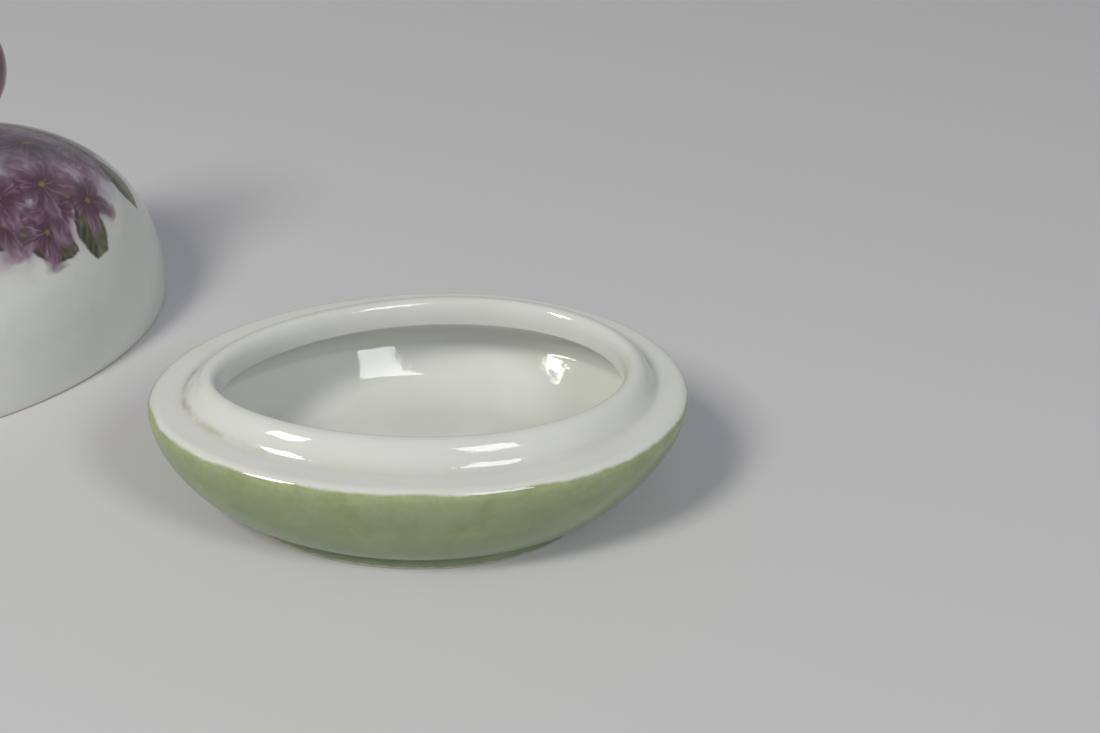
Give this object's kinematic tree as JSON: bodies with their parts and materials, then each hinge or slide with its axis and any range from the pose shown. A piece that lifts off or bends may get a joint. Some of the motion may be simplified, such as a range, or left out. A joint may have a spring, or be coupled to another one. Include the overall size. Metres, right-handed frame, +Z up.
{
  "type": "trinket box",
  "caption": "Oval porcelain trinket box, opened: bowl-shaped base with a raised gallery rim, and its domed lid with a ball knob, lifted off and standing beside it.",
  "frame": {"origin": "middle of the base's flat foot, on the surface that the box stands on", "axes": "+Z up, +X towards the broader end of the oval base, +Y across it towards the side where the lid stands"},
  "size_m": [0.1559, 0.1295, 0.0632],
  "materials": {
    "base_glaze": "glossy clear glaze over white porcelain, pale green painted outside up to the shoulder, unglazed foot",
    "lid_glaze": "glossy clear glaze over white porcelain with painted lilac blossoms and sage leaves, unglazed rim",
    "knob_glaze": "glossy plum-coloured glaze"
  },
  "bodies": {
    "base": {"base": "base_glaze"},
    "lid": {"lid": "lid_glaze", "lid_knob": "knob_glaze"}
  },
  "joints": [
    {"name": "lid_lift", "type": "slide", "parent": "base", "child": "lid", "axis": [0, 0, 1], "range_m": [0, 0.06]}
  ]
}
